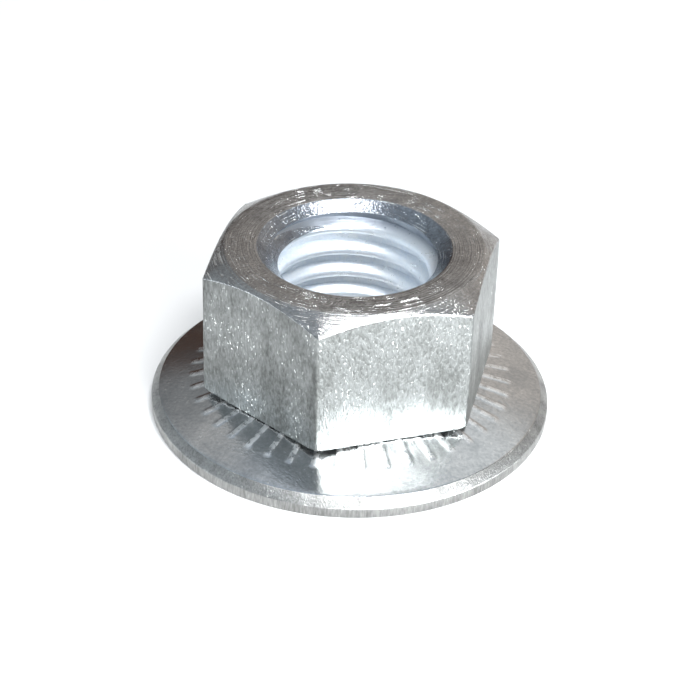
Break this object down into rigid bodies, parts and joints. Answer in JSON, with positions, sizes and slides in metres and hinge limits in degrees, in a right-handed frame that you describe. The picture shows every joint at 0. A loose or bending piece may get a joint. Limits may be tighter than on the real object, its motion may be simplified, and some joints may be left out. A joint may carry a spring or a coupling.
{
  "type": "serrated flange nut",
  "caption": "Hexagon nut with a captive, free-turning conical washer that has radial serrations under the nut.",
  "frame": {"origin": "on the thread axis, in the plane that the washer's rim rests on", "axes": "+Z along the thread axis, from the washer towards the nut's free end; two corners of the hexagon lie on the Y axis"},
  "size_m": [0.0274, 0.0274, 0.0122],
  "materials": {
    "nut_zinc": "bright zinc plating over cold-formed steel, grainy",
    "washer_zinc": "bright zinc plating over stamped steel sheet, smooth"
  },
  "bodies": {
    "nut": {"hex_nut": "nut_zinc"},
    "washer": {"serrated_washer": "washer_zinc"}
  },
  "joints": [
    {"name": "washer_turn", "type": "hinge", "parent": "nut", "child": "washer", "pos_m": [0, 0, 0.0018], "axis": [0, 0, 1], "continuous": true}
  ]
}
